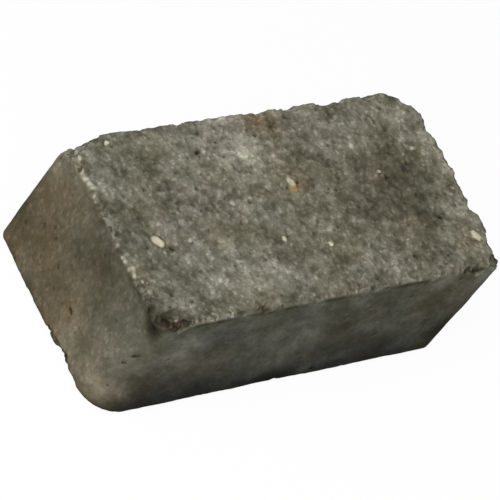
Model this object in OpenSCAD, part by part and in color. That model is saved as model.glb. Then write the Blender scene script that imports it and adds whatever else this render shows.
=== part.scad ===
// Tumbled concrete paving stone: one pressed block whose edges were worn round in a drum.
// Lengths are in millimetres. +Z is up, and the origin is the centre of the bed face.

/* [Block] */
// Length along X, from the left end to the right end
stone_length = 208; // [160:1:300]
// Width along Y, from the front to the back
stone_width = 106; // [90:1:160]
// Height along Z, from the bed to the wearing face
stone_height = 80; // [50:1:120]

/* [Corners of the wearing face] */
// Radius of the front left corner at the wearing face
top_front_left_r = 12; // [4.5:0.5:24]
// Radius of the front right corner at the wearing face
top_front_right_r = 6; // [4.5:0.5:24]
// Radius of the back right corner at the wearing face
top_back_right_r = 22; // [4.5:0.5:24]
// Radius of the back left corner at the wearing face
top_back_left_r = 5.5; // [4.5:0.5:24]

/* [Corners of the bed] */
// Radius of the front left corner at the bed
bed_front_left_r = 20; // [4.5:0.5:24]
// Radius of the front right corner at the bed
bed_front_right_r = 4.5; // [4.5:0.5:24]
// Radius of the back right corner at the bed
bed_back_right_r = 12; // [4.5:0.5:24]
// Radius of the back left corner at the bed
bed_back_left_r = 4.5; // [4.5:0.5:24]

/* [Arrises] */
// Radius of the worn arris round the wearing face
top_arris_r = 2; // [1.5:0.25:4]
// Radius of the worn arris round the bed
bed_arris_r = 4; // [1.5:0.25:4]

/* [Nicks] */
// Radius of the scoop that a light knock leaves in an arris
nick_r = 9; // [6:0.5:14]
// Depth of that scoop below the worn arris
nick_depth = 1.2; // [0.5:0.1:2.5]

/* [Spalls] */
// Radius of the scoop that a hard knock leaves in an arris
spall_r = 20; // [14:0.5:30]
// Depth of that scoop below the worn arris
spall_depth = 2.6; // [1:0.1:5]

/* [Knocked corners] */
// Radius of the scoop that a knock leaves at a corner
knock_r = 16; // [10:0.5:24]
// Depth of that scoop below the worn corner
knock_depth = 4; // [1:0.1:6]

/* [Hidden] */
stone_colour = "#5c5a52";
corner_sides = 32;
arris_steps = 4;
scoop_sides = 64;

// A knock's place is three shares of the half length, half width and half height, from the block's
// centre. A share of 1 or -1 lies on that face. Then come the knock's share of the full scoop size,
// and its lean: the share by which it came from above or below rather than from the side.
nick_place_shares = [
    [-1, 0.66, 1, 0.9, 0.7], [-1, 0.27, 1, 1, 1.6], [-1, -0.2, 1, 0.7, 0.6],
    [-0.55, -1, 1, 0.7, 0.8], [-0.4, -1, 1, 1, 1.5], [0.02, -1, 1, 0.8, 0.6],
    [0.22, -1, 1, 1, 1.2], [0.56, -1, 1, 0.8, 0.7],
    [1, 0.14, 1, 0.7, 1.2], [1, 0.36, 1, 0.8, 1.4],
    [-0.6, 1, 1, 0.9, 1.3], [-0.24, 1, 1, 0.7, 0.6], [0.26, 1, 1, 1.5, 0.9],
    [0.04, -1, -1, 0.6, 0.5], [0.44, -1, -1, 0.5, 1], [0.7, 1, -1, 0.7, 0.6],
    [-1, 0.3, -1, 1, 0.8], [-1, -0.11, -1, 1.2, 0.6], [1, -0.12, -1, 1, 1.3],
    [-0.36, 1, -1, 1, 0.7], [0.28, 1, -1, 0.8, 1.2]
];
spall_place_shares = [
    [-0.9, -1, 1, 0.95, 1.2], [-1, -0.56, 1, 0.7, 1.2], [0.84, -1, 1, 0.7, 0.5], [1, -0.3, 1, 1, 0.75],
    [1, -0.84, 1, 1.1, 0.6], [1, -0.06, 1, 0.5, 0.8], [1, 0.58, 1, 0.8, 0.9], [0.09, 1, 1, 0.9, 0.9],
    [0.5, 1, 1, 1.1, 0.8], [0.72, 1, 1, 0.8, 1], [-0.34, 1, 1, 0.5, 1.1], [-0.995, 1, 1, 1.9, 0.3],
    [-1, 1, 0.78, 1.2, 0], [-1, -0.33, -1, 1, 0.55], [-1, -0.56, -1, 0.55, 0.5], [-0.7, 1, -1, 0.8, 0.7],
    [1, 0.42, -1, 0.7, 0.6]
];
// A knocked corner is the side that it lies on along X, Y and Z, and its share of the full scoop size.
knock_side_shares = [
    [-1, -1, 1, 0.6], [1, 1, 1, 0.45], [-1, 1, 1, 1.3], [1, -1, 1, 1],
    [1, 1, -1, 0.6], [1, -1, -1, 0.5]
];

half_size = [stone_length, stone_width, stone_height] / 2;
block_centre = [0, 0, stone_height / 2];

// Part of a radius that a quarter round takes off a sharp edge, along each of its two faces
round_off_share = 1 - 1 / sqrt(2);

// Unit vector along v
function unit(v) = v / norm(v);

// A share that reaches a face counts as that face's side, and any other share as no side
function side(share) = abs(share) == 1 ? share : 0;

// Radius of the worn arris on the upper or the lower side
function arris_r(z_side) = z_side > 0 ? top_arris_r : bed_arris_r;

// Radius of the corner on the given sides, seen from above
function corner_r(x_side, y_side, z_side) =
    z_side > 0
        ? (y_side < 0 ? (x_side < 0 ? top_front_left_r : top_front_right_r)
                      : (x_side < 0 ? top_back_left_r : top_back_right_r))
        : (y_side < 0 ? (x_side < 0 ? bed_front_left_r : bed_front_right_r)
                      : (x_side < 0 ? bed_back_left_r : bed_back_right_r));

// Middle of the corner's rounding, on the wearing face or on the bed
function corner_middle(x_side, y_side, z_side) =
    let (r = corner_r(x_side, y_side, z_side))
        block_centre + [x_side * (half_size.x - r), y_side * (half_size.y - r), z_side * half_size.z];

// Outline of a corner's rim from its axis outwards, with the arris rounded, for a face at height 0
function rim_outline(r, edge_r, z_side) = concat(
    [[0, 0]],
    [for (step = [0 : arris_steps]) let (angle = 90 * step / arris_steps)
        [r - edge_r + edge_r * sin(angle), -z_side * edge_r * (1 - cos(angle))]],
    [[0, -z_side * edge_r]]
);

// Point of the worn arris that is nearest to a place on the sharp one
function arris_point(place) =
    let (sides = [side(place.x), side(place.y), side(place.z)])
        block_centre + [for (i = [0 : 2]) place[i] * half_size[i]]
            - sides * arris_r(place.z) * round_off_share;

// Point that sticks out furthest from the worn rim of a corner
function rim_point(sides) =
    let (
        worn = arris_r(sides.z) * round_off_share,
        reach = corner_r(sides.x, sides.y, sides.z) - worn
    )
        corner_middle(sides.x, sides.y, sides.z)
            + [sides.x * reach / sqrt(2), sides.y * reach / sqrt(2), -sides.z * worn];

// Rim that rounds one corner of the wearing face or of the bed
module corner_rim(x_side, y_side, z_side) {
    translate(corner_middle(x_side, y_side, z_side))
        rotate_extrude($fn = corner_sides)
            polygon(rim_outline(corner_r(x_side, y_side, z_side), arris_r(z_side), z_side));
}

// Block with every edge worn round
module worn_block() {
    hull()
        for (x_side = [-1, 1], y_side = [-1, 1], z_side = [-1, 1])
            corner_rim(x_side, y_side, z_side);
}

// Ball that takes a scoop of the given depth out of the surface at a point
module scoop(point, outward, r, depth) {
    translate(point + unit(outward) * (r - depth))
        sphere(r, $fn = scoop_sides);
}

// Scoops of one kind at their places along the arrises
module arris_scoops(place_shares, r, depth) {
    for (place = place_shares)
        let (size_share = place[3], lean_share = place[4])
            scoop(
                arris_point(place),
                [side(place.x), side(place.y), side(place.z) * lean_share],
                size_share * r,
                size_share * depth
            );
}

// Scoops at the corners that were knocked
module corner_scoops() {
    for (sides = knock_side_shares)
        let (size_share = sides[3])
            scoop(
                rim_point(sides),
                [sides.x, sides.y, sides.z * sqrt(2)],
                size_share * knock_r,
                size_share * knock_depth
            );
}

// The whole stone
module paving_stone() {
    color(stone_colour)
        difference() {
            worn_block();
            arris_scoops(nick_place_shares, nick_r, nick_depth);
            arris_scoops(spall_place_shares, spall_r, spall_depth);
            corner_scoops();
        }
}

paving_stone();
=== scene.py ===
# %% [markdown]
# # A tumbled concrete paving stone
# The real stone is a block of dry concrete, pressed in a steel mould and then tumbled in a drum until its
# arrises, the edges where two faces meet, wore round and lost chips. Only one side of it is open and
# grainy: the wearing face, which is walked on. The sides slid along the mould and are smooth. This lesson
# grows that one piece from a ruled box, wears it down, and gives it one concrete finish.

# %% The frame that the stone has to fit
import math

import bpy
import numpy as np
from mathutils import Matrix, Vector


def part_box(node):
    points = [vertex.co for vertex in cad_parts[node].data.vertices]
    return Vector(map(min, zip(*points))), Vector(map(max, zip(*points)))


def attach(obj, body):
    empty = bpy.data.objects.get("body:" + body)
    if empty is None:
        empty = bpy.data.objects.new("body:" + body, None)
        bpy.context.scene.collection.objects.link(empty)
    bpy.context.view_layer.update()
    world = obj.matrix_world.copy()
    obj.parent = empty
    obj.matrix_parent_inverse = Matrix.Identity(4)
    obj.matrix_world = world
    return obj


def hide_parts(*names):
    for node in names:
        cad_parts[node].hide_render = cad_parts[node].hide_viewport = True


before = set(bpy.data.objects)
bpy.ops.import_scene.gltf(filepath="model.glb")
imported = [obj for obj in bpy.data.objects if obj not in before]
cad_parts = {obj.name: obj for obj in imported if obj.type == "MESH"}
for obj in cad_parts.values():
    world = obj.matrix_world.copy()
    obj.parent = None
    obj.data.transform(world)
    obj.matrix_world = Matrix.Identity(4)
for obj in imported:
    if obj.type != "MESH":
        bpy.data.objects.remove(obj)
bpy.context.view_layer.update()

MM = 0.001
low, high = (np.array(corner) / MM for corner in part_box("paving_stone"))
half = (high - low) / 2
centre = (high + low) / 2
print("block, mm:", (high - low).round(2), "centre, mm:", centre.round(2))

# %% [markdown]
# ## The view
# A long lens far away keeps the stone's edges almost parallel, as in a catalogue picture. The camera
# looks down at the near left corner and is rolled, so the stone seems to stand on its edge although it
# lies flat. Its matrix holds its right, up and backward directions as columns.

# %% Camera
IMAGE_SIDE_PX = 500
FOCAL_LENGTH_PX = 3400
SENSOR_MM = 36.0
CAMERA_FROM_CENTRE_MM = (-976.0, -599.3, 1160.7)
LOOK_AZIMUTH_DEG = 58.39
LOOK_DOWN_DEG = 45.44
ROLL_DEG = 39.0


def rolled_view(azimuth, down, roll):
    """Right, up and backward directions: the level view along the azimuth is tipped down, then rolled."""
    level = math.cos(down)
    forward = Vector((math.sin(azimuth) * level, math.cos(azimuth) * level, -math.sin(down)))
    level_right = forward.cross(Vector((0, 0, 1))).normalized()
    level_up = level_right.cross(forward)
    right = level_right * math.cos(roll) + level_up * math.sin(roll)
    up = level_up * math.cos(roll) - level_right * math.sin(roll)
    return right, up, -forward


def in_scene(name, data):
    """New object of that name and data, linked into the scene."""
    made = bpy.data.objects.new(name, data)
    bpy.context.collection.objects.link(made)
    return made


lens = bpy.data.cameras.new("catalogue_lens")
lens.sensor_width = SENSOR_MM
lens.lens = FOCAL_LENGTH_PX / IMAGE_SIDE_PX * SENSOR_MM
camera = in_scene("camera", lens)
axes = rolled_view(*(math.radians(angle) for angle in (LOOK_AZIMUTH_DEG, LOOK_DOWN_DEG, ROLL_DEG)))
camera_place = Vector(centre * MM) + Vector(CAMERA_FROM_CENTRE_MM) * MM
camera.matrix_world = Matrix.Translation(camera_place) @ Matrix(axes).transposed().to_4x4()
bpy.context.scene.camera = camera
print("lens, mm:", round(lens.lens, 1), "camera, m:", [round(v, 3) for v in camera_place])

# %% [markdown]
# ## Colours and nodes
# Colours are easiest to judge as the hex values that a picture shows, but Blender mixes light in linear
# numbers, so one function converts them. A second one adds a node, with its settings and whatever feeds
# it: another node is linked, a plain number or colour is set. A third empties a new material's tree.

# %% Helpers for colours and nodes


def linear(hex_colour):
    """Linear red, green, blue and full alpha of an sRGB colour: the standard curve, undone."""
    parts = [int(hex_colour[i : i + 2], 16) / 255 for i in (1, 3, 5)]
    return tuple(c / 12.92 if c <= 0.04045 else ((c + 0.055) / 1.055) ** 2.4 for c in parts) + (1.0,)


def node(tree, kind, inputs=None, **settings):
    """One new shader node of that kind: its settings are set, and its inputs are linked or filled in.

    An input that is given a whole node is linked to that node's first output in use.
    """
    made = tree.nodes.new("ShaderNode" + kind)
    for name, value in settings.items():
        setattr(made, name, value)
    for key, value in (inputs or {}).items():
        if isinstance(value, bpy.types.Node):
            value = next(socket for socket in value.outputs if socket.enabled)
        if isinstance(value, bpy.types.NodeSocket):
            tree.links.new(value, made.inputs[key])
        else:
            made.inputs[key].default_value = value
    return made


def empty_tree(owner):
    """Node tree of a material or of the world, switched on and emptied."""
    owner.use_nodes = True
    owner.node_tree.nodes.clear()
    return owner.node_tree


print("mid concrete grey in linear light:", [round(c, 3) for c in linear("#6e6b5d")])

# %% [markdown]
# ## The stage
# A catalogue picture has a plain white ground. The floor looks white to the camera and to mirrors, and
# still shows a part of the shade that the stone casts on it. For the light that bounces back to the stone
# it is a mid grey, so that the stone's lower edges stay dark. The sky does the same: white to look at,
# dim as a light.

# %% Floor and sky
FLOOR_SIDE_M = 8.0
FLOOR_DROP_MM = 0.05
FLOOR_WHITE_SHARE = 0.95
SKY_LIGHT = 0.27


def seen_directly(tree):
    """1 for a ray from the camera or by way of a mirror or glass, 0 for light that reaches a surface."""
    path = node(tree, "LightPath").outputs
    direct = path["Is Camera Ray"]
    for ray_kind in ("Is Glossy Ray", "Is Transmission Ray"):
        direct = node(tree, "Math", {0: direct, 1: path[ray_kind]}, operation="MAXIMUM")
    return direct


def white_floor():
    """Painted floor: mid grey to bouncing light, and to the eye white with a little of its own shade."""
    material = bpy.data.materials.new("studio_floor")
    tree = empty_tree(material)
    paint = node(tree, "BsdfDiffuse", {"Color": linear("#6a6a6a")})
    shaded = node(tree, "BsdfDiffuse", {"Color": linear("#ffffff")})
    white = node(tree, "Emission", {"Color": linear("#ffffff"), "Strength": 1.0})
    shown = node(tree, "MixShader", {0: FLOOR_WHITE_SHARE, 1: shaded, 2: white})
    chosen = node(tree, "MixShader", {0: seen_directly(tree), 1: paint, 2: shown})
    node(tree, "OutputMaterial", {"Surface": chosen})
    return material


corner = FLOOR_SIDE_M / 2
floor_z = (low[2] - FLOOR_DROP_MM) * MM
floor_mesh = bpy.data.meshes.new("studio_floor")
ground = [(x * corner, y * corner, floor_z) for x, y in ((-1, -1), (1, -1), (1, 1), (-1, 1))]
floor_mesh.from_pydata(ground, [], [(0, 1, 2, 3)])
floor_mesh.materials.append(white_floor())
floor = in_scene("studio_floor", floor_mesh)

sky = bpy.data.worlds.new("studio_sky")
sky_tree = empty_tree(sky)
level = node(sky_tree, "MapRange", {"Value": seen_directly(sky_tree), "To Min": SKY_LIGHT, "To Max": 1.0})
backdrop = node(sky_tree, "Background", {"Color": linear("#ffffff"), "Strength": level})
node(sky_tree, "OutputWorld", {"Surface": backdrop})
bpy.context.scene.world = sky
bpy.context.scene.view_settings.view_transform = "Standard"
print("floor side, m:", FLOOR_SIDE_M, "sky light:", SKY_LIGHT)

# %% [markdown]
# ## The lamp
# The wearing face is the brightest side, the left end comes next and the front is darkest, so one broad
# soft lamp stands high on the left. An area lamp of P watts gives P / (pi d^2) on a surface that faces it
# at d metres, and a grey surface looks as its hex colour says where that light and the sky's add up to
# pi.

# %% Key lamp
KEY_DIRECTION = (-0.561, -0.173, 0.809)
KEY_DISTANCE_M = 1.1
KEY_SIDE_M = 0.6
KEY_LEVEL = 0.865

toward_key = Vector(KEY_DIRECTION).normalized()
key = bpy.data.lights.new("softbox", "AREA")
key.shape = "SQUARE"
key.size = KEY_SIDE_M
key.energy = KEY_LEVEL * math.pi * math.pi * KEY_DISTANCE_M**2
softbox = in_scene("softbox", key)
softbox.matrix_world = Matrix.Translation(Vector(centre * MM) + toward_key * KEY_DISTANCE_M) @ (
    toward_key.to_track_quat("Z", "Y").to_matrix().to_4x4()
)
print("softbox, W:", round(key.energy, 2))

# %% [markdown]
# ## A ruled box to start from
# A block could start as a cube with many subdivisions, but then its points crowd where nothing happens.
# Here the three edges are ruled by a formula that draws the lines closer towards the arrises, where the
# wear is. Points that two sides share have one number, so the six sides are one closed skin.

# %% Skin of the box
RULES_ALONG = (222, 120, 64)
EDGE_CROWDING = 0.3


def ruled(half_length, count):
    """Places along an edge: even steps t from -1 to 1, pulled to both ends by a share of a sine of t."""
    t = np.linspace(-1, 1, count + 1)
    return half_length * ((1 - EDGE_CROWDING) * t + EDGE_CROWDING * np.sin(t * math.pi / 2))


def box_skin(x, y, z):
    """Points and outward four-sided faces of the box whose edges are ruled at x, y and z.

    A side is a grid of two of the rules. Lattice point (i, j, k) has one number wherever it is used.
    """
    rules = (x, y, z)
    counts = tuple(len(rule) for rule in rules)
    quads = []
    for axis in range(3):
        first, second = (axis + 1) % 3, (axis + 2) % 3
        u, v = np.meshgrid(np.arange(counts[first] - 1), np.arange(counts[second] - 1), indexing="ij")
        for end in (0, counts[axis] - 1):
            steps = ((0, 0), (1, 0), (1, 1), (0, 1)) if end else ((0, 0), (0, 1), (1, 1), (1, 0))
            place = {axis: np.full(u.shape, end)}
            numbers = []
            for step_u, step_v in steps:
                place[first] = u + step_u
                place[second] = v + step_v
                numbers.append(np.ravel_multi_index([place[a] for a in range(3)], counts))
            quads.append(np.stack(numbers, -1).reshape(-1, 4))
    numbers, faces = np.unique(np.concatenate(quads), return_inverse=True)
    places = np.unravel_index(numbers, counts)
    return np.stack([rule[i] for rule, i in zip(rules, places)], -1), faces.reshape(-1, 4)


skin, quads = box_skin(*(ruled(h, n) for h, n in zip(half, RULES_ALONG)))
print("points:", len(skin), "triangles:", 2 * len(quads))

# %% [markdown]
# ## Rays from a core
# Every later step moves a point in or out, so each point needs one line to move along. It starts on a
# smaller box deep inside the stone and runs out through the point. In the middle of a face that line is
# square to the face, and round an edge the lines fan out, so points never cross.

# %% Rays
CORE_DEPTH_MM = 26.0

core = np.clip(skin, CORE_DEPTH_MM - half, half - CORE_DEPTH_MM)
ray = skin - core
reach = np.linalg.norm(ray, axis=1)
ray /= reach[:, None]
print("rays reach from", reach.min().round(1), "to", reach.max().round(1), "mm")

# %% [markdown]
# ## The worn block
# Seen from above, the block is a rectangle whose four corners have their own radii, and each radius
# changes evenly from the bed to the wearing face. The arrises round both faces are worn too. A signed
# distance says all of this: it is below zero inside, above zero outside, and the skin lies where it is
# zero.

# %% Distance to the worn block
TOP_CORNER_R_MM = np.array([[12.0, 5.5], [6.0, 22.0]])
BED_CORNER_R_MM = np.array([[20.0, 4.5], [4.5, 12.0]])
TOP_ARRIS_R_MM = 2.0
BED_ARRIS_R_MM = 4.0
HALVINGS = 30


def corner_radius(p):
    """Radius of the upright corner in each point's quarter of the plan, at that point's height."""
    right, back = (p[:, 0] > 0).astype(int), (p[:, 1] > 0).astype(int)
    rise = np.clip((p[:, 2] / half[2] + 1) / 2, 0, 1)
    bed_r = BED_CORNER_R_MM[right, back]
    return bed_r + (TOP_CORNER_R_MM[right, back] - bed_r) * rise


def plan_and_lid(p):
    """Distance outside the rounded plan, and distance above the wearing face or below the bed."""
    r = corner_radius(p)
    beyond = np.abs(p[:, :2]) - (half[:2] - r[:, None])
    plan = np.linalg.norm(np.maximum(beyond, 0), axis=1) + np.minimum(beyond.max(1), 0) - r
    return plan, np.abs(p[:, 2]) - half[2]


def block_distance(p):
    """Distance to the block: plan and lid distances, joined by a quarter round of the arris's radius."""
    arris_r = np.where(p[:, 2] > 0, TOP_ARRIS_R_MM, BED_ARRIS_R_MM)
    beyond = np.stack(plan_and_lid(p), -1) + arris_r[:, None]
    return np.minimum(beyond.max(1), 0) + np.linalg.norm(np.maximum(beyond, 0), axis=1) - arris_r


def along(distance):
    """Points at that distance along their rays."""
    return core + distance[:, None] * ray


inside, outside = np.zeros(len(skin)), reach.copy()
for _ in range(HALVINGS):
    middle = (inside + outside) / 2
    is_out = block_distance(along(middle)) > 0
    outside = np.where(is_out, middle, outside)
    inside = np.where(is_out, inside, middle)
worn = inside
block = along(worn)
print("worn block, mm:", np.ptp(block, axis=0).round(2))

# %% [markdown]
# ## Chance, but always the same
# Chips, grains and stains need random shapes that come out alike on every run. So each cell of an endless
# lattice mixes its own three numbers into one. From that come a smooth noise, which blends the numbers at
# a cell's eight corners, and a grain pattern, which scatters one seed in each cell.

# %% Noise
CORNERS = np.stack(np.meshgrid((0, 1), (0, 1), (0, 1), indexing="ij"), -1).reshape(-1, 3)
NEIGHBOURS = np.stack(np.meshgrid((-1, 0, 1), (-1, 0, 1), (-1, 0, 1), indexing="ij"), -1).reshape(-1, 3)
MIXERS = np.array([0x8DA6B343, 0xD8163841, 0xCB1AB31F], dtype=np.uint64)
SEED_STEP = 0x9E3779B1
BIT_MIXES = ((0x7FEB352D, 16), (0x846CA68B, 15))
WORD = np.uint64(0xFFFFFFFF)
NOISE_SPREAD = 0.35
TURN = np.array([[0.36, 0.48, -0.8], [-0.8, 0.6, 0.0], [0.48, 0.64, 0.6]])


def chance(cells, seed):
    """A number from 0 to 1 for each cell: its three numbers are multiplied, added and bit-mixed."""
    cells = cells.astype(np.int64).astype(np.uint64)
    word = ((cells * MIXERS).sum(-1) + np.uint64(seed * SEED_STEP)) & WORD
    for multiplier, shift in BIT_MIXES:
        word ^= word >> np.uint64(shift)
        word = (word * np.uint64(multiplier)) & WORD
    return (word ^ (word >> np.uint64(16))).astype(float) / float(WORD)


def smooth_noise(p, size, seed):
    """Noise from -1 to 1 with features of that size: a cell's corner numbers, smoothly blended."""
    cell = np.floor(p / size)
    t = p / size - cell
    t = t * t * t * (t * (t * 6 - 15) + 10)
    total = np.zeros(len(p))
    for corner_step in CORNERS:
        weight = np.where(corner_step == 1, t, 1 - t).prod(-1)
        total += weight * chance(cell + corner_step, seed)
    return total * 2 - 1


def layered_noise(p, size, seed, layers=3, fade=0.5):
    """Smooth noise plus finer layers, each half the size, faded and turned, with a spread of about 1."""
    strengths = fade ** np.arange(layers)
    total = np.zeros(len(p))
    for i, strength in enumerate(strengths):
        p = p @ TURN
        total += strength * smooth_noise(p, size / 2**i, seed + i)
    return total / (NOISE_SPREAD * np.linalg.norm(strengths))


def grains(p, size, seed):
    """Distance to the nearest seed, in the unit of the size, and that seed's own two random numbers."""
    p = p @ TURN / size
    cell = np.floor(p)
    nearest = np.full(len(p), np.inf)
    luck = np.zeros((2, len(p)))
    for step in NEIGHBOURS:
        seed_cell = cell + step
        jitter = np.stack([chance(seed_cell, seed + i) for i in range(3)], -1)
        distance = np.linalg.norm(seed_cell + jitter - p, axis=1)
        closer = distance < nearest
        nearest = np.where(closer, distance, nearest)
        luck = np.where(closer, np.stack([chance(seed_cell, seed + i) for i in (3, 4)]), luck)
    return nearest * size, luck


def ramp(value, start, end):
    """0 up to start, 1 from end on, and a smooth step between."""
    t = np.clip((value - start) / (end - start), 0, 1)
    return t * t * (3 - 2 * t)


print("spread of the noise:", layered_noise(block, 10.0, 1).std().round(2))

# %% [markdown]
# ## Knocks
# In the drum, stones hit each other's edges and flakes break off. A flake's scar is hollow and shallow,
# so each one is the wall of a ball that only grazes the stone. A point inside a ball steps back along its
# ray to where the ray enters the ball. The places repeat those of the solid, as shares of the half sizes,
# and a noise on each ball's radius makes the rim ragged.

# %% Knocks
NICK_R_MM, NICK_DEPTH_MM = 9.0, 1.2
SPALL_R_MM, SPALL_DEPTH_MM = 20.0, 2.6
KNOCK_R_MM, KNOCK_DEPTH_MM = 16.0, 4.0
ROUND_OFF_SHARE = 1 - math.sqrt(0.5)
RIM_BLEND_MM = 0.4
RAGGED_MM, RAGGED_SIZE_MM, MOST_RAGGED = 0.5, 4.5, 1.5
BROKEN_MM = (0.1, 0.8)
NICK_SHARES = np.array([
    (-1, 0.66, 1, 0.9, 0.7), (-1, 0.27, 1, 1, 1.6), (-1, -0.2, 1, 0.7, 0.6),
    (-0.55, -1, 1, 0.7, 0.8), (-0.4, -1, 1, 1, 1.5), (0.02, -1, 1, 0.8, 0.6),
    (0.22, -1, 1, 1, 1.2), (0.56, -1, 1, 0.8, 0.7),
    (1, 0.14, 1, 0.7, 1.2), (1, 0.36, 1, 0.8, 1.4),
    (-0.6, 1, 1, 0.9, 1.3), (-0.24, 1, 1, 0.7, 0.6), (0.26, 1, 1, 1.5, 0.9),
    (0.04, -1, -1, 0.6, 0.5), (0.44, -1, -1, 0.5, 1), (0.7, 1, -1, 0.7, 0.6),
    (-1, 0.3, -1, 1, 0.8), (-1, -0.11, -1, 1.2, 0.6), (1, -0.12, -1, 1, 1.3),
    (-0.36, 1, -1, 1, 0.7), (0.28, 1, -1, 0.8, 1.2),
])
SPALL_SHARES = np.array([
    (-0.9, -1, 1, 0.95, 1.2), (-1, -0.56, 1, 0.7, 1.2), (0.84, -1, 1, 0.7, 0.5), (1, -0.3, 1, 1, 0.75),
    (1, -0.84, 1, 1.1, 0.6), (1, -0.06, 1, 0.5, 0.8), (1, 0.58, 1, 0.8, 0.9), (0.09, 1, 1, 0.9, 0.9),
    (0.5, 1, 1, 1.1, 0.8), (0.72, 1, 1, 0.8, 1), (-0.34, 1, 1, 0.5, 1.1), (-0.995, 1, 1, 1.9, 0.3),
    (-1, 1, 0.78, 1.2, 0), (-1, -0.33, -1, 1, 0.55), (-1, -0.56, -1, 0.55, 0.5), (-0.7, 1, -1, 0.8, 0.7),
    (1, 0.42, -1, 0.7, 0.6),
])
KNOCK_SHARES = np.array([
    (-1, -1, 1, 0.6), (1, 1, 1, 0.45), (-1, 1, 1, 1.3), (1, -1, 1, 1), (1, 1, -1, 0.6), (1, -1, -1, 0.5),
])


def unit(v):
    """Each row of v at length 1."""
    return v / np.linalg.norm(v, axis=-1, keepdims=True)


def arris_balls(shares, r, depth):
    """Centres and radii of the balls along the arrises: each grazes the worn arris by its depth."""
    sides = np.where(np.abs(shares[:, :3]) == 1, shares[:, :3], 0)
    arris_r = np.where(shares[:, 2] > 0, TOP_ARRIS_R_MM, BED_ARRIS_R_MM)
    worn_point = shares[:, :3] * half - sides * (arris_r * ROUND_OFF_SHARE)[:, None]
    outward = unit(sides * np.stack([np.ones(len(shares)), np.ones(len(shares)), shares[:, 4]], -1))
    size = shares[:, 3:4]
    return worn_point + outward * size * (r - depth), (size * r)[:, 0]


def corner_balls(shares, r, depth):
    """Centres and radii of the balls at the corners: each grazes the point that sticks out furthest."""
    sides, size = shares[:, :3], shares[:, 3:4]
    arris_r = np.where(sides[:, 2] > 0, TOP_ARRIS_R_MM, BED_ARRIS_R_MM)
    worn_off = (arris_r * ROUND_OFF_SHARE)[:, None]
    upright_r = corner_radius(sides * half)[:, None]
    plan_point = sides[:, :2] * (half[:2] - upright_r + (upright_r - worn_off) * math.sqrt(0.5))
    tip = np.concatenate([plan_point, sides[:, 2:] * (half[2] - worn_off)], axis=1)
    outward = unit(sides * (1, 1, math.sqrt(2)))
    return tip + outward * size * (r - depth), (size * r)[:, 0]


def entry(ball_centre, ball_r):
    """Distance along each ray to where it enters the ball, or infinity where it misses."""
    towards = core - ball_centre
    half_b = (towards * ray).sum(1)
    square = half_b**2 - (towards**2).sum(1) + ball_r**2
    ahead = (square > 0) & (half_b < 0)
    return np.where(ahead, -half_b - np.sqrt(np.maximum(square, 0)), np.inf)


def soft_least(a, b, blend):
    """The lesser of a and b, rounded off over the blend length where they are nearly equal."""
    b = np.minimum(b, a + blend)
    h = 0.5 + 0.5 * np.clip((b - a) / blend, -1, 1)
    return b * (1 - h) + a * h - blend * h * (1 - h)


balls = [
    arris_balls(NICK_SHARES, NICK_R_MM, NICK_DEPTH_MM),
    arris_balls(SPALL_SHARES, SPALL_R_MM, SPALL_DEPTH_MM),
    corner_balls(KNOCK_SHARES, KNOCK_R_MM, KNOCK_DEPTH_MM),
]
ragged = RAGGED_MM * layered_noise(block, RAGGED_SIZE_MM, 11)
knocked = worn.copy()
for centres, radii in balls:
    for ball_centre, ball_r in zip(centres, radii):
        ragged_r = ball_r + ragged * min(ball_r / NICK_R_MM, MOST_RAGGED)
        knocked = soft_least(knocked, entry(ball_centre, ragged_r), RIM_BLEND_MM)
broken = ramp(worn - knocked, *BROKEN_MM)
chipped = along(knocked)
print("knocks:", sum(len(radii) for _, radii in balls), "deepest, mm:", (worn - knocked).max().round(2))

# %% [markdown]
# ## Where the surface is open
# The wearing face shows its grains, the moulded sides don't, and along the arrises the skin of cement is
# gone. So before any grain is modelled, each point gets shares: how far it belongs to the wearing face,
# how near it is to an arris, and how far it lies open. Nothing pressed a scar flat, so it is rougher than
# the wearing face, and its share goes past 1.

# %% Shares of wearing face and arris
ARRIS_BAND_MM = 2.2
SCAR_OPEN, ARRIS_OPEN = 1.25, 0.7


def near_side(outward, axis, band_mm, skin_mm=1.0):
    """Share of a side across that axis: 0 below the band's depth, 1 from the skin's depth outwards."""
    return ramp(outward, half[axis] - band_mm, half[axis] - skin_mm)


def bell(value, reach_mm):
    """exp(-(value / reach)^2): 1 at value 0, and hardly anything beyond twice the reach."""
    return np.exp(-((value / reach_mm) ** 2))


plan_gap, lid_gap = plan_and_lid(block)
arris = bell(np.hypot(np.minimum(plan_gap, 0), np.minimum(lid_gap, 0)), ARRIS_BAND_MM)
wearing = near_side(block[:, 2], 2, 1.6, 0.3)
open_share = np.maximum(wearing, np.maximum(SCAR_OPEN * broken, ARRIS_OPEN * arris))
print("wearing face share of points:", wearing.mean().round(3), "open share:", open_share.mean().round(3))

# %% [markdown]
# ## Grain
# Sand and fine gravel stand a little proud of the wearing face, and the cement between them lies lower.
# Each grain is a small dome over one seed of the grain pattern, and a layered noise makes the ground
# under the grains uneven. The sides only swell a little, because the steel of the mould was nearly flat.
# All relief is a depth below the worn block, so the stone never grows past the solid.

# %% Grain relief
GRAIN_MM, GRAIN_DEPTH_MM = 2.9, 0.5
GRAIN_R_SHARE, LEAST_GRAIN, MEAN_GRAIN = 0.7, 0.3, 0.6
ROUGH_MM, ROUGH_DEPTH_MM = 6.5, 0.24
SWELL_MM, SWELL_DEPTH_MM = 24.0, 0.1
FACE_WEAR_MM, SIDE_WEAR_MM = 0.35, 0.15

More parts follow.
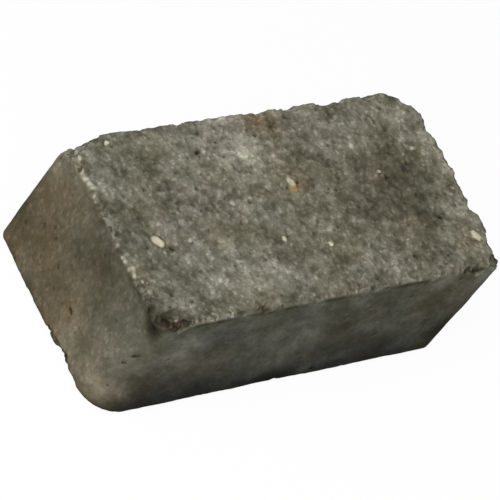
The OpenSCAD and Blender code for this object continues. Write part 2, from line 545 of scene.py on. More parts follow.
grain_gap, grain_luck = grains(chipped, GRAIN_MM, 21)
dome = np.sqrt(np.maximum(1 - (grain_gap / (GRAIN_R_SHARE * GRAIN_MM)) ** 2, 0))
dome *= LEAST_GRAIN + (1 - LEAST_GRAIN) * grain_luck[0]
rough = layered_noise(chipped, ROUGH_MM, 31, 3, 0.75)
face_depth = FACE_WEAR_MM + GRAIN_DEPTH_MM * (MEAN_GRAIN - dome) + ROUGH_DEPTH_MM * rough
face_depth = np.maximum(face_depth, 0) * open_share
swell = layered_noise(chipped, SWELL_MM, 41, 4, 0.6)
side_depth = np.maximum(SIDE_WEAR_MM + SWELL_DEPTH_MM * swell, 0) * (1 - wearing)
print("grain, mm: mean", face_depth.mean().round(3), "sides, mm: mean", side_depth.mean().round(3))

# %% [markdown]
# ## Pits and crumbs
# Air that was trapped in the mould leaves pits on every side. Many small round ones are set by chance.
# The large ones have places of their own: each is a short groove with round ends, given by its middle,
# half of its lie as a vector, and its radius. Two of them are the gaps beside a pebble that sits loose.
# The arrises lose crumbs, which leave small round bites.

# %% Pits and crumbs
PITS = np.array([
    (-76.7, -12.6, 80, 0.7, -0.7, 0, 0.55), (-36.9, 35.1, 80, 0.5, 0.2, 0, 1),
    (80.7, -21.3, 80, 0.4, -0.3, 0, 0.9), (9.6, 10.4, 80, 0.5, 0.4, 0, 0.5),
    (2, 8.7, 80, 0.3, -0.3, 0, 0.4), (-104, -7.6, 25.2, 0, 0.9, 0.1, 0.9),
    (-99.7, -49, 49.8, 0.8, -1.4, 2, 0.6), (-101.3, -46.5, 40.5, 0.3, -0.5, 0.7, 0.6),
    (-102.6, -44.5, 75.8, 1.2, -4.2, -3.2, 0.35), (-93, -44, 79.5, 3.5, 0.6, 0, 0.5),
])
FAR_MM = 10.0
SMALL_PIT_MM, SMALL_PIT_R_MM, LEAST_PIT = 8.0, 1.5, 0.35
SIDE_PITS, MORE_FACE_PITS = 0.35, 0.3
PIT_DEPTH_MM, PIT_RIM_MM = 1.2, (-0.25, 0.7)
CRUMB_MM, CRUMB_R_MM, LEAST_CRUMB = 4.6, 2.2, 0.4
CRUMB_DEPTH_MM, CRUMB_RIM_MM = 1.1, (-0.2, 1.3)
CRUMBS, BED_CRUMB_SHARE = 0.6, 0.4


def pit_share(gap, r):
    """1 well inside a pit of that radius, 0 outside, with a soft rim."""
    return ramp(r - gap, *PIT_RIM_MM)


seed_gap, pit_luck = grains(chipped, SMALL_PIT_MM, 51)
pit_r = SMALL_PIT_R_MM * (LEAST_PIT + (1 - LEAST_PIT) * pit_luck[1])
pit_r *= pit_luck[0] < SIDE_PITS + MORE_FACE_PITS * wearing
small_pit = pit_share(seed_gap, pit_r)
pit_gap = np.full(len(block), FAR_MM)
for x, y, z, lie_x, lie_y, lie_z, r in PITS:
    lie = np.array([lie_x, lie_y, lie_z])
    towards = chipped + centre - (x, y, z)
    lengthwise = np.clip(towards @ lie / (lie @ lie), -1, 1)
    pit_gap = np.minimum(pit_gap, np.linalg.norm(towards - lengthwise[:, None] * lie, axis=1) - r)

crumb_gap, crumb_luck = grains(chipped, CRUMB_MM, 61)
crumb_r = CRUMB_R_MM * (LEAST_CRUMB + (1 - LEAST_CRUMB) * crumb_luck[1])
crumb = ramp(crumb_r - crumb_gap, *CRUMB_RIM_MM) * (crumb_luck[0] < CRUMBS) * arris
crumb *= np.where(block[:, 2] > 0, 1, BED_CRUMB_SHARE)
pit = np.maximum(small_pit, pit_share(pit_gap, 0))
depth = face_depth + side_depth + PIT_DEPTH_MM * pit + CRUMB_DEPTH_MM * crumb
print("relief, mm: mean", depth.mean().round(3), "most", depth.max().round(2))

# %% [markdown]
# ## Pebbles
# A few pebbles of the gravel lie in the wearing face, cut flush by the press and a little proud after the
# wear. Each is a rounded shape between an ellipse and a rectangle, given by its middle, its long half
# axis, its half width and how golden it is. The gap to the nearest rim goes to the finish: where it is
# below zero there is pebble, so the rim stays sharp between the points of the mesh.

# %% Pebbles
# The cream pebble at (5.9, 10.6) is a painted highlight: it stands for the lit upper side of the gold
# pebble at (5.3, 7.6).
PEBBLES = np.array([
    (-82.4, -8, 2.4, -3.1, 2.5, 0), (5.3, 7.6, 2.4, -1.1, 2.2, 0.8), (5.9, 10.6, 1.2, -2.9, 1.9, 0.1),
    (95.2, -34.6, 1.2, -3.1, 2.3, 0.15), (97, -6.6, 0.5, -1.4, 1.1, 0.3), (59, 9, 1, -0.8, 1.3, 0),
    (-14, -18, 1.2, -1, 1.4, 0), (10, -25, 0.9, -1, 1.5, 0), (55, -30, 0.9, 0.5, 0.55, 0.1),
    (-83.2, 47.6, 1.6, 0.9, 1.2, 0),
])
PEBBLE_SQUARENESS = 2.3
PEBBLE_RISE_MM, PEBBLE_RIM_MM = 0.15, (-0.6, 0.9)
OFF_FACE_MM = 20.0

pebble_gap = np.full(len(block), FAR_MM)
pebble_gold = np.zeros(len(block))
for x, y, long_x, long_y, half_width, gold in PEBBLES:
    half_length = math.hypot(long_x, long_y)
    off_x, off_y = chipped[:, 0] - x, chipped[:, 1] - y
    lengthwise = (off_x * long_x + off_y * long_y) / half_length**2
    crosswise = (off_y * long_x - off_x * long_y) / (half_length * half_width)
    spread = np.abs(lengthwise) ** PEBBLE_SQUARENESS + np.abs(crosswise) ** PEBBLE_SQUARENESS
    gap = (spread ** (1 / PEBBLE_SQUARENESS) - 1) * half_width + OFF_FACE_MM * (1 - wearing)
    pebble_gold = np.where(gap < pebble_gap, gold, pebble_gold)
    pebble_gap = np.minimum(pebble_gap, gap)
pebble = ramp(-pebble_gap, *PEBBLE_RIM_MM)
depth = depth * (1 - pebble) + PEBBLE_RISE_MM * pebble
stone = along(knocked - depth)
print("pebbles:", len(PEBBLES), "points on them:", int((pebble_gap < 0).sum()))

# %% [markdown]
# ## Pale chips
# Where a crumb broke off not long ago, the concrete is clean and pale. Most of these chips lie along the
# left arris, a few round the scar and some on the wearing face. Each is a ball, given by its middle and
# radius, and again the gap to the nearest one goes to the finish.

# %% Chips
CHIPS = np.array([
    (-100.8, -48.6, 79.8, 0.8), (-93, -49.9, 80, 0.7), (-102.3, 42, 80, 1.3), (-103.6, 38.5, 79, 0.5),
    (-103.4, 34.7, 79.4, 0.8), (-103.3, 30.7, 79.5, 1.1), (-102.9, 27.4, 79.8, 0.9),
    (-102.5, 25, 79.9, 0.9), (-103.6, 20.9, 79.2, 0.6), (-103.8, 17.9, 78.9, 0.5),
    (-103.4, 9, 79.3, 0.8), (-103.3, -1.4, 79.5, 0.5), (-103.9, -6, 78.6, 0.8),
    (-103.9, -12, 78.6, 0.9), (-103.8, -14.5, 78.9, 1), (-103.9, -19.2, 78.6, 0.8),
    (-102.1, -19.4, 80, 0.7), (-103.3, -23.2, 79.5, 0.9), (-101, -27, 80, 1), (-99.2, -27.6, 80, 0.9),
    (-100.3, -32.2, 80, 0.7), (-103.4, -36.7, 79.4, 0.4), (-100.6, -37, 80, 0.4),
    (-97.5, -36.5, 80, 0.3), (-94.2, -49.5, 80, 0.4), (-100.5, -48.1, 79.6, 0.3),
    (-81.4, -14.2, 80, 0.6), (71.4, 18.3, 80, 0.7), (78.3, 16, 80, 0.7), (85.6, 18.5, 80, 0.8),
    (81, 24, 80, 0.6), (50.6, 25, 80, 0.7), (34.6, 36.3, 80, 0.5), (69, -23.8, 80, 0.6),
    (-9.6, -28.8, 80, 0.5), (-7.9, -40.9, 80, 0.5), (10.7, -52.3, 79.5, 0.8), (-65.2, -10.3, 80, 0.7),
    (-32.3, 5.6, 80, 0.7), (-55.5, -40.8, 80, 0.6), (-60.1, -33.4, 80, 0.6),
])

chip_gap = np.full(len(block), FAR_MM)
for x, y, z, r in CHIPS:
    chip_gap = np.minimum(chip_gap, np.linalg.norm(block + centre - (x, y, z), axis=1) - r)
print("chips:", len(CHIPS), "points on them:", int((chip_gap < 0).sum()))

# %% [markdown]
# ## Where the stains are
# Lime, soil and weather leave lighter, darker and browner spots, and some of the dark spots are painted
# shade. Each row is one: its place, its reach in millimetres and its strength. The strength of a shade is
# a natural logarithm: 0.2 is about a fifth lighter, and -0.2 about a fifth darker. A spot on the wearing
# face has a place in x and y, on the left end in y and z, and on the front in x and z. Spots at a corner
# or an arris have all three.

# %% Places of the stains
FACE_SHADES = [
    (-12, 32, 10, 0.5), (-14, 49, 9, 0.65), (-52, 30, 7, 0.3), (-32, 9, 8, 0.5), (1, 26, 8, 0.45),
    (-26, 34, 8, 0.25), (-60, -33, 8, 0.65), (-43, -36, 8, 0.55), (-26, -31, 8, 0.55),
    (14, -20, 9, 0.45), (29, -38, 10, 0.4), (48, -45, 7, 0.35), (75, -39, 8, 0.4), (45, 32, 14, 0.25),
    (53, 5, 6, 0.25), (85, 38, 12, 0.25), (97, 18, 9, 0.5), (97, 3, 8, 0.35), (92, -18, 10, 0.4),
    (100, -33, 7, 0.25), (52, -24, 6, 0.45), (-46, -19, 9, 0.3), (47, 25, 7, 0.3), (93, -9, 6, 0.25),
    (-88, 6, 8, -0.3), (-86.3, 6, 3.2, -0.6), (-97, 7, 6, -0.3), (-96, -42, 7, -0.25),
    (-70, 36, 9, -0.25), (-74, 22, 9, -0.35), (-59, 35, 7, -0.3), (-38, 36, 5, -0.25),
    (-38, -5, 8, -0.4), (-82, -32, 7, -0.5), (-72, -50, 9, -0.4), (17, 21, 7, -0.4), (5, 34, 5, -0.25),
    (24, 40, 9, -0.3), (41, 43, 7, -0.35), (66, 8, 18, -0.5), (75, -1, 7, -0.35), (78, 26, 7, -0.4),
    (68, -29, 10, -0.5), (66, -14, 8, -0.3), (38, -15, 10, -0.6), (50, -9, 7, -0.4), (33, 8, 8, -0.45),
    (6, -41, 8, -0.3), (-90, -12, 7, -0.25), (0, -24, 7, -0.25), (61, 18, 6, -0.25),
    (97, -6.6, 3, -0.7), (86, -53, 5, -0.4), (90.5, -38.5, 3.5, -0.4), (100, -32, 3, -0.5),
]
END_SHADES = [
    (-8, 63, 17, -0.5), (8, 54, 10, -0.35), (-22, 49, 7, -0.25), (30, 36, 8, -0.2), (50, 24, 10, -0.6),
    (50, 44, 8, -0.3), (-32, 77, 9, -0.3), (14, 78, 6, -0.25), (25, 58, 8, 0.35), (28, 10, 8, 0.25),
    (-13, 26, 7, 0.3), (-13, 10, 8, 0.45), (50, 66, 8, 0.55), (-38, 36, 16, 0.3), (-30, 9, 8, 0.3),
    (52, 4, 7, 0.3), (-48, 16, 11, 0.9),
]
FRONT_SHADES = [
    (-80, 56, 18, 0.5), (-90, 44, 8, 0.3), (-40, 70, 8, 0.4), (-46, 35, 8, 0.5), (-20, 38, 10, 0.45),
    (2, 40, 12, 0.4), (-12, 56, 9, 0.45), (-10, 74, 6, 0.35), (-16, 18, 9, 0.45), (18, 69, 8, 0.5),
    (29, 8, 10, 0.7), (63, 42, 8, 0.35), (66, 75, 9, 0.7), (46, 74, 7, 0.35), (94, 70, 8, 0.6),
    (80, 7, 11, 0.7), (92, 56, 9, 0.35), (19, 8, 4, 0.5), (-5, 25, 6, 0.3), (-57, 50, 8, -0.35),
    (-9, 43, 7, -0.25), (-65, 30, 8, -0.5), (-72, 15, 14, -0.3), (-44, 10, 10, -0.5), (4, 3, 12, -1.2),
    (26, 54, 9, -0.5), (21, 48, 9, -0.25), (38, 28, 9, -0.3), (69, 51, 9, -0.55), (75, 35, 9, -0.3),
    (65, 17, 7, -0.5), (-98, 58, 10, -0.35),
]
# Painted shade in these rows: the first darkens the front right corner, whose rounding would catch the
# light. The rows round the scar are partly its stain and partly painted shadow under its upper lip and
# painted shade on its lower lip. The rows along the left arris are painted shade below its crumbs.
EDGE_SHADES = [
    (103, -52, 20, 12, -1.8), (-99, -51, 28, 10, -0.55), (-102.7, -46, 75, 3.5, -1.1),
    (-101.4, -48, 71, 4.5, -1.2), (-100.3, -49.2, 68.5, 4, -0.7), (-102.8, -42.5, 79, 3, -0.8),
    (-99.5, -47, 79.8, 2.5, -1.2), (-95.5, -46.7, 80, 2.8, -1.2), (-92, -46.5, 80, 2.2, -0.5),
    (-99, -50.5, 78.5, 3.5, -0.7), (-94, -51.8, 79, 3.5, -0.5), (-94.6, -52.8, 75.7, 3.5, -0.35),
    (-89.5, -52, 79.5, 2.5, -0.4), (-87.5, -53, 78, 4, -0.6), (-104, 14.5, 78.5, 2.2, -0.7),
    (-104, 8, 77.2, 2, -0.5), (-104, -8.9, 77.9, 1.8, -0.6), (-104, -24, 77, 1.8, -0.5),
    (-104, -28, 77.3, 2, -0.7), (-104, -31.8, 78, 2, -0.7), (-103.4, -36, 79.2, 2, -0.7),
    (-103.2, -41, 79, 2.5, -0.6),
]
FACE_SOIL = [
    (8, 48, 10, 0.6), (9.5, 8.5, 3, 0.7), (52, 4, 34, 0.12), (-50, -7, 9, 0.15), (8, 15, 9, 0.15),
    (8, -40, 10, 0.08), (90, -38, 5, 0.3),
]
END_SOIL = [(0, 11, 9, 0.25), (40, 16, 12, 0.1), (-6, 26, 5, 0.3), (48, 20, 13, 0.15)]
FRONT_SOIL = [(80, 66, 16, 0.12), (73, 51, 10, 0.2), (-92, 18, 16, 0.16)]
EDGE_IRON = [(-99.5, -50, 77.5, 2.5, 0.45), (-94.5, -52.6, 77.8, 3, 0.4), (-90, -52.6, 79, 3, 0.45)]
EDGE_PALE = [
    (-100, -31, 80, 5, 0.4), (-73, -51, 80, 4, 0.4), (-62, -52, 80, 4, 0.5), (-103, 46, 79, 5, 0.6),
]


def on_sides(face, end, front):
    """Rows of the three sides, each with its side's own coordinate put in: z of the face, x, then y."""
    return np.concatenate([
        np.insert(np.array(face, dtype=float), 2, high[2], axis=1),
        np.insert(np.array(end, dtype=float), 0, low[0], axis=1),
        np.insert(np.array(front, dtype=float), 1, low[1], axis=1),
    ])


shade_spots = np.concatenate([on_sides(FACE_SHADES, END_SHADES, FRONT_SHADES), EDGE_SHADES])
soil_spots = on_sides(FACE_SOIL, END_SOIL, FRONT_SOIL)
print("spots of shade:", len(shade_spots), "of soil:", len(soil_spots), "of iron:", len(EDGE_IRON))

# %% [markdown]
# ## How the stains spread
# A slow noise pushes the points aside before the distance to a spot is taken, so no spot is round. The
# back, the right end and the bed have no spots of their own, so they get a mottle by chance instead. The
# moulded sides are a little darker than the wearing face, which brightens towards the back and is darker
# along the front.

# %% Spread of the stains
DRIFT_MM, DRIFT_SIZE_MM, DRIFT_SHARE = 1.3, 14.0, 0.15
MOTTLE_MM, MOTTLE_STRENGTH = 34.0, 0.16
SIDE_SHADE = -0.09
FACE_SLOPE, FRONT_DARKER_MM, FRONT_DARKER = 0.05, 9.0, -0.13

drift = np.stack([layered_noise(block, DRIFT_SIZE_MM, seed) for seed in (71, 74, 77)], -1)


def spots(rows):
    """Sum of soft spots: strength times exp(-(distance / reach)^2), with less drift for a small reach."""
    total = np.zeros(len(block))
    for x, y, z, reach_mm, strength in rows:
        away = block + centre + min(DRIFT_MM, DRIFT_SHARE * reach_mm) * drift - (x, y, z)
        total += strength * np.exp(-(away**2).sum(1) / reach_mm**2)
    return total


unspotted = np.maximum.reduce([
    near_side(chipped[:, 0], 0, 8),
    near_side(chipped[:, 1], 1, 8),
    near_side(-chipped[:, 2], 2, 10),
])
mottle = MOTTLE_STRENGTH * layered_noise(chipped, MOTTLE_MM, 81) * unspotted
front_darker = FRONT_DARKER * bell(block[:, 1] + half[1], FRONT_DARKER_MM)
shade = spots(shade_spots) + mottle + SIDE_SHADE * (1 - wearing)
shade += wearing * (FACE_SLOPE * block[:, 1] / half[1] + front_darker)
print("shade of the spots from", shade.min().round(2), "to", shade.max().round(2))

# %% [markdown]
# ## Darker foot, painted shade and scar
# The long sides are darker towards their foot. Along the line where they touch the ground they carry a
# painted contact shadow, which runs on a little way round the front corners. Close below the front
# arris is a dark line in stretches: painted shade under the arris, with some dirt. Small pits are
# darkened by dirt and painted shade. The scar at the near corner is dark and rough, partly from its
# stain and partly from painted shade in its hollow, and fades towards its lower rim.

# %% Darker foot, painted shade and scar
FOOT_MM, FOOT_SHADE = 25.0, -0.95
FOOT_ENDS_MM = (4.0, 26.0)
CONTACT_SHADOW_MM, TURNING_SHADOW_MM, CONTACT_SHADOW = 8.0, 4.0, -0.9
SMALL_PIT_SHADE = -0.3
ARRIS_SHADE_Z_MM, ARRIS_SHADE_WIDTH_MM, ARRIS_SHADE_STRETCH_MM, ARRIS_SHADE = 77.4, 1.1, 13.0, -0.8
SCAR = (-96, -49, 78, 10.0, 1.0)
SCAR_DEEP_MM, SCAR_GRAIN_MM, SCAR_RIM_Z_MM, SCAR_SHADE = (0.1, 1.3), 3.2, (73.5, 78.0), -0.6

height = chipped[:, 2] + centre[2]
drifted_height = block[:, 2] + centre[2] + DRIFT_MM * drift[:, 2]
from_end = half[0] - np.abs(chipped[:, 0])
long_side = near_side(np.abs(chipped[:, 1]), 1, 6)
foot = long_side * bell(drifted_height, FOOT_MM) * ramp(from_end, *FOOT_ENDS_MM)
turning = near_side(-chipped[:, 1], 1, 13, 4) * (1 - long_side)
# Painted contact shadow along the ground line, thinner round the front corners.
contact_shadow = long_side * bell(drifted_height, CONTACT_SHADOW_MM)
contact_shadow += turning * bell(drifted_height, TURNING_SHADOW_MM)
# Painted shade, with some dirt, in stretches just below the front arris.
arris_shade_and_dirt = near_side(-chipped[:, 1], 1, 5) * bell(height - ARRIS_SHADE_Z_MM, ARRIS_SHADE_WIDTH_MM)
arris_shade_and_dirt *= ramp(layered_noise(chipped, ARRIS_SHADE_STRETCH_MM, 95), -0.8, 0.6)
# The scar is darkened partly as a stain and partly as painted shade in its hollow, most under its upper
# lip.
scar = ramp(worn - knocked, *SCAR_DEEP_MM) * spots([SCAR])
scar *= np.clip(0.75 + 0.8 * layered_noise(chipped, SCAR_GRAIN_MM, 85), 0.0, 1.7)
scar *= ramp(height, *SCAR_RIM_Z_MM)
shade += FOOT_SHADE * foot + CONTACT_SHADOW * contact_shadow + SMALL_PIT_SHADE * small_pit
shade += SCAR_SHADE * scar + ARRIS_SHADE * arris_shade_and_dirt
print("shade from", shade.min().round(2), "to", shade.max().round(2))

# %% [markdown]
# ## Soil and iron
# The left end took up brown soil, more towards the back and towards the bed, but its upper back corner
# stayed clean. The long sides took up only a little of it, in patches. Iron from the sand tints the
# wearing face faintly and the scar a little more.

# %% Brown and red stains
END_TINT, END_TINT_BACK, END_TINT_DOWN = 0.37, 0.23, 0.14
CLEAN_CORNER = (-104, 51, 77, 8, 1.0)
PATCH_MM, END_PATCHES = 20.0, 0.13
LONG_SIDE_SOIL = 0.05
FACE_IRON, FACE_IRON_PATCHES, SCAR_IRON = 0.07, 0.3, 0.12

patches = layered_noise(chipped, PATCH_MM, 87, 2)
end_soil = END_TINT + END_TINT_BACK * chipped[:, 1] / half[1] - END_TINT_DOWN * chipped[:, 2] / half[2]
end_soil *= near_side(-chipped[:, 0], 0, 22) * (1 - wearing)
end_soil *= (1 - spots([CLEAN_CORNER])) * (1 + END_PATCHES * patches)
side_soil = LONG_SIDE_SOIL * np.maximum(patches, 0) * long_side * (1 - wearing)
soil = np.clip(spots(soil_spots) + end_soil + side_soil, 0, 1)
face_iron = FACE_IRON * (1 + FACE_IRON_PATCHES * patches) * wearing
iron = np.clip(spots(EDGE_IRON) + SCAR_IRON * scar + face_iron, 0, 1)
print("most soil:", soil.max().round(2), "most iron:", iron.max().round(2))

# %% [markdown]
# ## Reading the stone's own numbers
# The finish has to know where it is on the stone: on the wearing face, in a pit, on a pebble. Those
# numbers were worked out above, so the mesh carries them as named attributes, and the finish reads them
# by name. The ends came out of the mould a little rougher than the long sides, so grit differs from side
# to side, and so do the clouds. The upper arris is pale in stretches, where it crumbled, but not round
# the scar.

# %% Attributes
END_GRIT, LONG_SIDE_GRIT = 0.66, 0.32
FRONT_CLOUDS, END_CLOUDS, UNSPOTTED_CLOUDS, FACE_CLOUDS = 0.42, 0.2, 0.34, 0.23
ARRIS_PALE, END_ARRIS_PALE, PALE_STRETCH_MM = 0.35, 0.4, 11.0
DULL_CORNER = (-97, -49, 78, 9, 1.0)
HOLLOW_DEPTH_MM, HOLLOW_SPREAD_MM = 0.55, 0.6


def moved(value, other, share):
    """The value moved by a share of the way to the other one."""
    return value + (other - value) * share


end_side = near_side(np.abs(chipped[:, 0]), 0, 6)
left_end = near_side(-chipped[:, 0], 0, 8, 3)
side_clouds = moved(moved(FRONT_CLOUDS, END_CLOUDS, left_end), UNSPOTTED_CLOUDS, unspotted)
stretch = ramp(layered_noise(chipped, PALE_STRETCH_MM, 91), -0.9, 0.5)
pale = arris * near_side(block[:, 2], 2, 1.8, 0.6) * moved(ARRIS_PALE, END_ARRIS_PALE, left_end)
pale = np.clip(pale * stretch * (1 - soil) * (1 - iron) + spots(EDGE_PALE), 0, 1)
shares = {
    "wearing": wearing,
    "end": end_side,
    "grit": np.maximum(open_share, np.maximum(END_GRIT * end_side, LONG_SIDE_GRIT)),
    "cloud": moved(side_clouds, FACE_CLOUDS, wearing),
    "pale": pale * (1 - spots([DULL_CORNER])),
    "hollow": np.clip((depth - HOLLOW_DEPTH_MM) / HOLLOW_SPREAD_MM, -0.5, 1.5),
    "shade": shade,
    "soil": soil,
    "iron": iron,
    "darker_foot": foot,
    "pit_gap": pit_gap,
    "chip_gap": chip_gap,
    "pebble_gap": pebble_gap,
    "pebble_gold": pebble_gold,
}
print("attributes:", ", ".join(shares))

# %% [markdown]
# ## Sand
# Up close, concrete is sand: every grain has a lightness of its own, and the gaps between grains are
# dark. A cell pattern gives both, one number for each grain and the distance to its middle. A fine noise
# bends the cells, so no grain is a neat polygon, and they are drawn out upwards, the way the press moved.
# A few grains are paler in the middle, and here and there is a pinhole. Tone is kept as a natural
# logarithm, because a stain darkens light and dark grains by the same share.

# %% Sand
SAND_MM, SAND_TONE = 2.0, 0.34
BEND_MM, BEND_SIZE_MM = 2.4, 1.6
SAND_GAP_SHADE, MEAN_GAP = -0.36, 0.52
PALE_GRAIN = 0.15
PINHOLE_MM, PINHOLE_SHADE = 5.0, -0.7
UPWARDS, UPWARDS_SHARE = (0.0, 0.0, 1.0), 0.4


def drawn_place(tree, place, way, share):
    """The place with its part along that way cut by a share, so that patterns come out longer."""
    part = node(tree, "VectorMath", {0: place, 1: way}, operation="DOT_PRODUCT")
    cut = tuple(-share * c for c in way)
    return node(tree, "VectorMath", {0: part, 1: cut, 2: place}, operation="MULTIPLY_ADD")


def pinhole_tone(tree, place):
    """Dark middles of a few cells of a wide pattern, 0 elsewhere."""
    holes = node(tree, "TexVoronoi", {"Vector": place, "Scale": 1 / (PINHOLE_MM * MM)})
    chosen = node(tree, "MapRange", {"Value": holes.outputs["Color"], "From Min": 0.55, "From Max": 0.7})
    distance = holes.outputs["Distance"]
    hole = node(
        tree, "MapRange", {"Value": distance, "From Min": 0.24, "From Max": 0.1, "To Max": PINHOLE_SHADE}
    )
    return node(tree, "Math", {0: hole, 1: chosen}, operation="MULTIPLY")


def sand_tone(tree, place):
    """Own lightness of each grain, darker away from its middle, plus a few pale middles and pinholes."""
    place = drawn_place(tree, place, UPWARDS, UPWARDS_SHARE)
    wobble = node(tree, "TexNoise", {"Vector": place, "Scale": 1 / (BEND_SIZE_MM * MM), "Detail": 2.0})
    push = {0: wobble.outputs["Color"], 1: (BEND_MM * MM,) * 3, 2: place}
    bent = node(tree, "VectorMath", push, operation="MULTIPLY_ADD")
    pattern = {"Vector": bent, "Scale": 1 / (SAND_MM * MM), "Smoothness": 0.4}
    cells = node(tree, "TexVoronoi", pattern, feature="SMOOTH_F1")
    luck, distance = cells.outputs["Color"], cells.outputs["Distance"]
    own = node(tree, "MapRange", {"Value": luck, "To Min": -SAND_TONE, "To Max": SAND_TONE})
    from_middle = node(tree, "Math", {0: distance, 1: MEAN_GAP}, operation="SUBTRACT")
    few = node(tree, "MapRange", {"Value": luck, "From Min": 0.62, "From Max": 0.74})
    middle = node(
        tree, "MapRange", {"Value": distance, "From Min": 0.55, "From Max": 0.2, "To Max": PALE_GRAIN}
    )
    tone = node(tree, "Math", {0: own, 1: pinhole_tone(tree, bent)}, operation="ADD")
    for value, strength in ((from_middle, SAND_GAP_SHADE), (few, middle)):
        tone = node(tree, "Math", {0: value, 1: strength, 2: tone}, operation="MULTIPLY_ADD")
    return tone


print("sand, mm:", SAND_MM, "pinholes, mm apart:", PINHOLE_MM)

# %% [markdown]
# ## Tone of the concrete
# The eye reads the stone by how its greys vary: over millimetres as sand, over centimetres as clouds. On
# the wearing face every scale of the clouds is about as strong as the next one. On the moulded sides the
# fine scales fade, and the clouds are drawn out the way the concrete slid in the mould: aslant on the
# long sides and upright on the ends. Dirt gathers in hollows. Pits and the rings round pebbles are
# darkened by dirt and by painted shade.

# %% Tone
CLOUD_MM = 18.0
FACE_FINENESS, SIDE_FINENESS = 0.86, 0.78
ASLANT, ASLANT_SHARE = (-0.68, 0.0, 0.733), 0.5
DIRT_STRENGTH = -0.5
# Pits and rings round pebbles: darkened by dirt and by painted shade.
LARGE_PIT_RIM_MM, LARGE_PIT_SHADE = 0.5, -1.3
RING_MM, RING_SHADE = 1.1, -0.4


def cloud_tone(tree, place, fineness):
    """Noise of centimetre size, each finer layer weaker by the fineness."""
    layers = {"Vector": place, "Scale": 1 / (CLOUD_MM * MM), "Detail": 5.0, "Roughness": fineness}
    return node(tree, "TexNoise", layers, normalize=False)


def all_clouds(tree, place, carried):
    """Clouds of the wearing face, of the long sides and of the ends, each where it belongs."""
    face = cloud_tone(tree, place, FACE_FINENESS)
    long = cloud_tone(tree, drawn_place(tree, place, ASLANT, ASLANT_SHARE), SIDE_FINENESS)
    end = cloud_tone(tree, drawn_place(tree, place, UPWARDS, UPWARDS_SHARE), SIDE_FINENESS)
    sides = node(tree, "Mix", {0: carried["end"], 2: long, 3: end})
    return node(tree, "Mix", {0: carried["wearing"], 2: sides, 3: face})


def concrete_tone(tree, place, carried):
    """Log of the lightness: stains + sand * grit + clouds + dirt in hollows, and dirt with painted shade
    in pits and at pebbles.
    """
    gap, rim = carried["pit_gap"], LARGE_PIT_RIM_MM
    in_pit = node(
        tree, "MapRange", {"Value": gap, "From Min": rim, "From Max": -rim, "To Max": LARGE_PIT_SHADE}
    )
    gap = carried["pebble_gap"]
    by_pebble = node(
        tree, "MapRange", {"Value": gap, "From Min": RING_MM, "From Max": 0.0, "To Max": RING_SHADE}
    )
    terms = (
        (in_pit, 1.0),
        (by_pebble, 1.0),
        (sand_tone(tree, place), carried["grit"]),
        (all_clouds(tree, place, carried), carried["cloud"]),
        (carried["hollow"], DIRT_STRENGTH),
    )
    tone = carried["shade"]
    for value, strength in terms:
        tone = node(tree, "Math", {0: value, 1: strength, 2: tone}, operation="MULTIPLY_ADD")
    return tone


print("clouds, mm:", CLOUD_MM)

# %% [markdown]
# ## Colour of the cement
# Grey cement leans to olive, and more so where it is dark. Towards the darker foot of the long sides it
# is a purer grey, where soil got in it is brown, and where iron got in it is red. Each of these is mixed
# in by the share that the mesh carries.

# %% Cement
HUE_MM, DARK_LEAN = 24.0, -0.7
CEMENT_GREY, CEMENT_OLIVE = "#6e6e63", "#6f6e5a"
FOOT_GREY, SOIL_BROWN, IRON_RED = "#6c6c69", "#776549", "#7f6255"


def cement_colour(tree, place, tone, carried):
    """Grey to olive by a slow noise and by how dark the tone is, then the foot's grey, soil and iron."""
    hue = node(tree, "TexNoise", {"Vector": place, "Scale": 1 / (HUE_MM * MM), "Detail": 3.0})
    darker = node(tree, "Math", {0: tone, 1: DARK_LEAN, 2: hue}, operation="MULTIPLY_ADD")
    olive = node(tree, "MapRange", {"Value": darker, "From Min": 0.1, "From Max": 0.9})
    mixed_in = (
        (olive, CEMENT_OLIVE),
        (carried["darker_foot"], FOOT_GREY),
        (carried["soil"], SOIL_BROWN),
        (carried["iron"], IRON_RED),
    )
    colour = linear(CEMENT_GREY)
    for share, other in mixed_in:
        colour = node(tree, "Mix", {0: share, 6: colour, 7: linear(other)}, data_type="RGBA")
    return colour


for hex_colour in (CEMENT_GREY, CEMENT_OLIVE):
    print("cement", hex_colour, "in linear light:", [round(c, 3) for c in linear(hex_colour)[:3]])

# %% [markdown]
# ## Colour of breaks and pebbles
# The cement's colour is multiplied by the tone. Over it come the pale specks of the crumbled arris, the
# pale chips, and the pebbles from cream to gold. The rims of chips and pebbles shift with the tone, so
# they run along the grains of sand, and pebbles take on less dirt than cement.

# %% Colour
SPECK_MM = 1.5
PALE_CEMENT, CREAM_PEBBLE, GOLD_PEBBLE = "#c9c2b1", "#cec8ae", "#97793f"
CHIP_SHIFT, CHIP_COVER = -0.9, 0.85
PEBBLE_SHIFT, PEBBLE_DIRT_POWER = -0.5, 0.65


def fresh_break(tree, place, tone, carried):
    """Share of pale cement: the larger of specks times the carried paleness, and of being in a chip."""
    specks = node(tree, "TexVoronoi", {"Vector": place, "Scale": 1 / (SPECK_MM * MM)})
    speck = node(tree, "MapRange", {"Value": specks.outputs["Color"], "From Min": 0.45, "From Max": 0.95})
    crumbly = node(tree, "Math", {0: speck, 1: carried["pale"]}, operation="MULTIPLY")
    gap = node(tree, "Math", {0: tone, 1: CHIP_SHIFT, 2: carried["chip_gap"]}, operation="MULTIPLY_ADD")
    rim = {"Value": gap, "From Min": 1.1, "From Max": -0.9, "To Max": CHIP_COVER}
    in_chip = node(tree, "MapRange", rim, interpolation_type="SMOOTHSTEP")
    return node(tree, "Math", {0: crumbly, 1: in_chip}, operation="MAXIMUM")


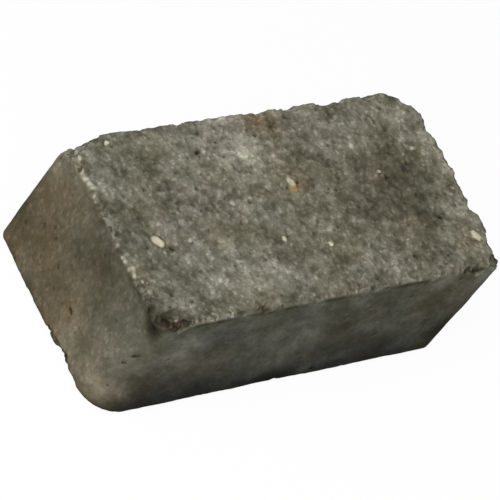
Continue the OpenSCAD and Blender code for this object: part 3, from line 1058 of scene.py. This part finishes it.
def pebble_cover(tree, tone, carried):
    """Share of pebble: 1 inside its rim, 0 outside."""
    shifted = {0: tone, 1: PEBBLE_SHIFT, 2: carried["pebble_gap"]}
    gap = node(tree, "Math", shifted, operation="MULTIPLY_ADD")
    return node(tree, "MapRange", {"Value": gap, "From Min": 0.4, "From Max": -0.5})


def pebble_colour(tree, lightness, carried):
    """Cream to gold, times a power of the lightness."""
    colours = {0: carried["pebble_gold"], 6: linear(CREAM_PEBBLE), 7: linear(GOLD_PEBBLE)}
    gravel = node(tree, "Mix", colours, data_type="RGBA")
    dirty = node(tree, "Math", {0: lightness, 1: PEBBLE_DIRT_POWER}, operation="POWER")
    return node(tree, "VectorMath", {"Vector": gravel, "Scale": dirty}, operation="SCALE")


def concrete_colour(tree, place, tone, carried):
    """Cement times e to the tone, with fresh breaks and then pebbles over it."""
    lightness = node(tree, "Math", {0: tone}, operation="EXPONENT")
    cement = cement_colour(tree, place, tone, carried)
    colour = node(tree, "VectorMath", {"Vector": cement, "Scale": lightness}, operation="SCALE")
    over = (
        (fresh_break(tree, place, tone, carried), linear(PALE_CEMENT)),
        (pebble_cover(tree, tone, carried), pebble_colour(tree, lightness, carried)),
    )
    for share, other in over:
        colour = node(tree, "Mix", {0: share, 6: colour, 7: other}, data_type="RGBA")
    return colour


print("specks, mm:", SPECK_MM)

# %% [markdown]
# ## The finish
# Concrete is dull: it scatters light evenly and has hardly any gloss. The finest sand, about a millimetre
# and below, is too fine for the mesh, so it tilts the light as bump only.

# %% Concrete finish
FINE_SAND_MM, FINE_SAND_DEPTH_MM = 1.1, 0.35
ROUGHNESS, GLOSS = 0.92, 0.06


def tumbled_concrete():
    """Tumbled concrete: dull grey-olive cement, sand, dark hollows, pale breaks and pebbles."""
    material = bpy.data.materials.new("tumbled_concrete")
    tree = empty_tree(material)
    place = node(tree, "TexCoord").outputs["Object"]
    carried = {name: node(tree, "Attribute", attribute_name=name).outputs["Fac"] for name in shares}
    tone = concrete_tone(tree, place, carried)
    colour = concrete_colour(tree, place, tone, carried)
    grip = node(tree, "MapRange", {"Value": carried["grit"], "To Min": 0.2, "To Max": 1.0})
    sand = node(tree, "TexNoise", {"Vector": place, "Scale": 1 / (FINE_SAND_MM * MM), "Detail": 2.0})
    bump = node(tree, "Bump", {"Strength": grip, "Distance": FINE_SAND_DEPTH_MM * MM, "Height": sand})
    dull = {"Base Color": colour, "Roughness": ROUGHNESS, "Specular IOR Level": GLOSS, "Normal": bump}
    surface = node(tree, "BsdfPrincipled", dull)
    node(tree, "OutputMaterial", {"Surface": surface})
    return material


print("finish: tumbled_concrete, fine sand, mm:", FINE_SAND_MM)

# %% [markdown]
# ## The finished piece
# The points go into the mesh in one call, moved from the block's centre to the frame's origin and from
# millimetres to metres.

# %% Stone mesh
stone_mesh = bpy.data.meshes.new("tumbled_stone")
stone_mesh.from_pydata((stone + centre) * MM, [], quads)
stone_mesh.polygons.foreach_set("use_smooth", np.ones(len(quads), dtype=bool))
for name, values in shares.items():
    stone_mesh.attributes.new(name, "FLOAT", "POINT").data.foreach_set("value", values.astype(np.float32))
stone_mesh.materials.append(tumbled_concrete())
stone_mesh.update()
tumbled_stone = in_scene("tumbled_stone", stone_mesh)
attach(tumbled_stone, "root")
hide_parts("paving_stone")
print("stone, mm:", (np.ptp(stone, axis=0)).round(2))
